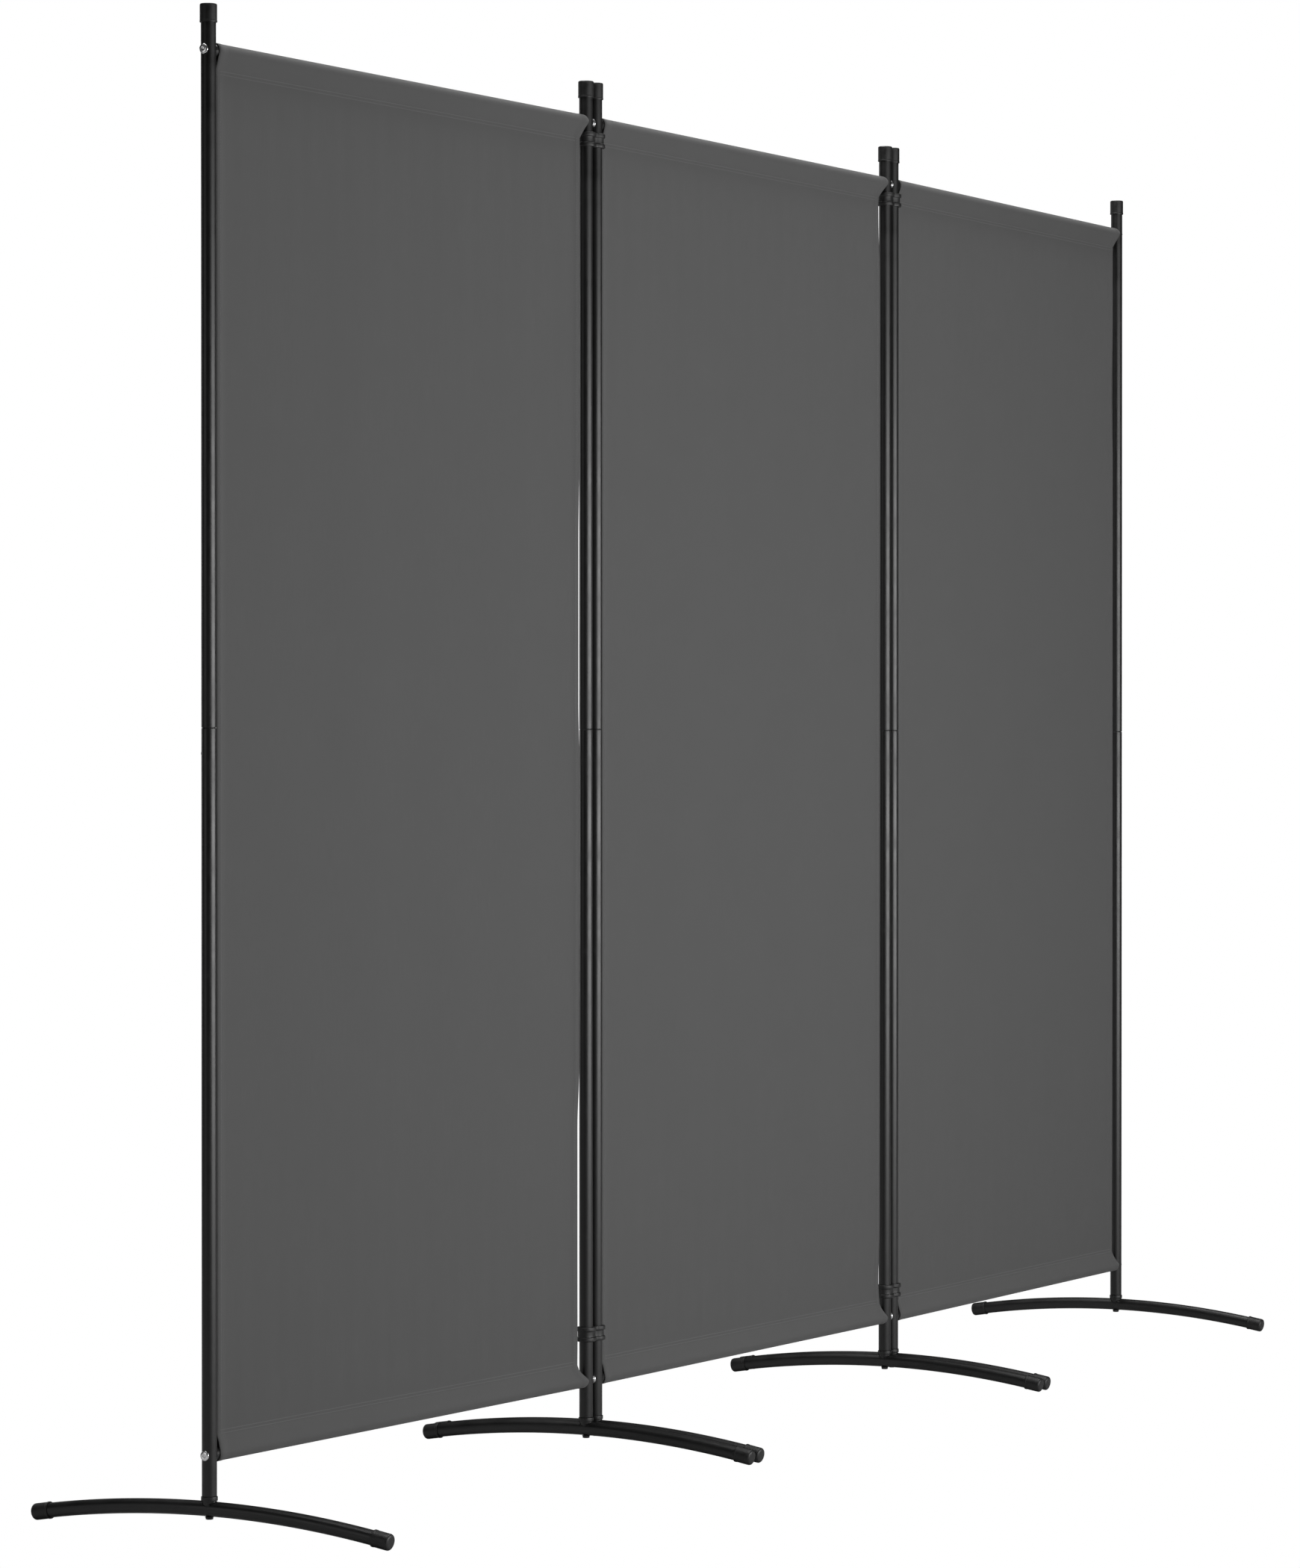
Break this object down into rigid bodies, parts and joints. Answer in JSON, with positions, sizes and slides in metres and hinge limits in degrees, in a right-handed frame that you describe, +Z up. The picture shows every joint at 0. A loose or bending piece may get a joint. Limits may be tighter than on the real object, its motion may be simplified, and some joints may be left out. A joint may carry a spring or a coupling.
{
  "type": "folding room divider screen",
  "caption": "Free-standing folding privacy screen: cloth panels stretched between steel poles, hinged by ring clips, on arched cross feet.",
  "frame": {"origin": "on the floor, under the middle of the footprint", "axes": "+Z up, +X along the screen from its left end to its right end as seen from the front, front faces -Y"},
  "size_m": [2.6024, 0.5317, 1.81],
  "materials": {
    "black_steel": "semi-gloss powder coat",
    "black_plastic": "moulded, satin",
    "zinc_steel": "bright zinc plate",
    "grey_cloth": "dark grey woven polyester"
  },
  "bodies": {
    "panel_centre": {"centre_panel_left_pole_lower": "black_steel", "centre_panel_left_pole_upper": "black_steel", "centre_panel_left_pole_cap": "black_plastic", "centre_panel_right_pole_lower": "black_steel", "centre_panel_right_pole_upper": "black_steel", "centre_panel_right_pole_cap": "black_plastic", "centre_panel_bottom_bar": "black_steel", "centre_panel_top_bar": "black_steel", "centre_panel_cloth": "grey_cloth"},
    "hinge_left": {"left_hinge_bottom_clip": "black_plastic", "left_hinge_top_clip": "black_plastic", "left_panel_right_foot": "black_steel", "left_panel_right_foot_front_cap": "black_plastic", "left_panel_right_foot_back_cap": "black_plastic", "left_panel_right_foot_bolt": "black_steel", "centre_panel_left_foot": "black_steel", "centre_panel_left_foot_front_cap": "black_plastic", "centre_panel_left_foot_back_cap": "black_plastic", "centre_panel_left_foot_bolt": "black_steel"},
    "hinge_right": {"right_hinge_bottom_clip": "black_plastic", "right_hinge_top_clip": "black_plastic", "centre_panel_right_foot": "black_steel", "centre_panel_right_foot_front_cap": "black_plastic", "centre_panel_right_foot_back_cap": "black_plastic", "centre_panel_right_foot_bolt": "black_steel", "right_panel_left_foot": "black_steel", "right_panel_left_foot_front_cap": "black_plastic", "right_panel_left_foot_back_cap": "black_plastic", "right_panel_left_foot_bolt": "black_steel"},
    "panel_left": {"left_panel_left_pole_lower": "black_steel", "left_panel_left_pole_upper": "black_steel", "left_panel_left_pole_cap": "black_plastic", "left_panel_right_pole_lower": "black_steel", "left_panel_right_pole_upper": "black_steel", "left_panel_right_pole_cap": "black_plastic", "left_panel_bottom_bar": "black_steel", "left_panel_top_bar": "black_steel", "left_panel_cloth": "grey_cloth"},
    "panel_right": {"right_panel_left_pole_lower": "black_steel", "right_panel_left_pole_upper": "black_steel", "right_panel_left_pole_cap": "black_plastic", "right_panel_right_pole_lower": "black_steel", "right_panel_right_pole_upper": "black_steel", "right_panel_right_pole_cap": "black_plastic", "right_panel_bottom_bar": "black_steel", "right_panel_top_bar": "black_steel", "right_panel_cloth": "grey_cloth"},
    "foot_left": {"left_panel_left_foot": "black_steel", "left_panel_left_foot_front_cap": "black_plastic", "left_panel_left_foot_back_cap": "black_plastic", "left_panel_left_foot_bolt": "black_steel"},
    "foot_right": {"right_panel_right_foot": "black_steel", "right_panel_right_foot_front_cap": "black_plastic", "right_panel_right_foot_back_cap": "black_plastic", "right_panel_right_foot_bolt": "black_steel"}
  },
  "joints": [
    {"name": "fold_left", "type": "hinge", "parent": "panel_centre", "child": "hinge_left", "pos_m": [-0.42205, -0.01195, 0.9], "axis": [0, 0, 1], "range_deg": [-50, 50]},
    {"name": "turn_left", "type": "hinge", "parent": "hinge_left", "child": "panel_left", "pos_m": [-0.44605, -0.01161, 0.9], "axis": [0, 0, 1], "range_deg": [-50, 50]},
    {"name": "fold_right", "type": "hinge", "parent": "panel_centre", "child": "hinge_right", "pos_m": [0.41895, -0.01195, 0.9], "axis": [0, 0, 1], "range_deg": [-50, 50]},
    {"name": "turn_right", "type": "hinge", "parent": "hinge_right", "child": "panel_right", "pos_m": [0.44295, -0.01161, 0.9], "axis": [0, 0, 1], "range_deg": [-50, 50]},
    {"name": "foot_left_turn", "type": "hinge", "parent": "panel_left", "child": "foot_left", "pos_m": [-1.28672, 0.01187, 0.046], "axis": [0, 0, 1], "range_deg": [-90, 90]},
    {"name": "foot_right_turn", "type": "hinge", "parent": "panel_right", "child": "foot_right", "pos_m": [1.28362, 0.01187, 0.046], "axis": [0, 0, 1], "range_deg": [-90, 90]}
  ],
  "couplings": [
    {"joint": "turn_left", "follows": "fold_left", "ratio": 1},
    {"joint": "turn_right", "follows": "fold_right", "ratio": 1}
  ]
}
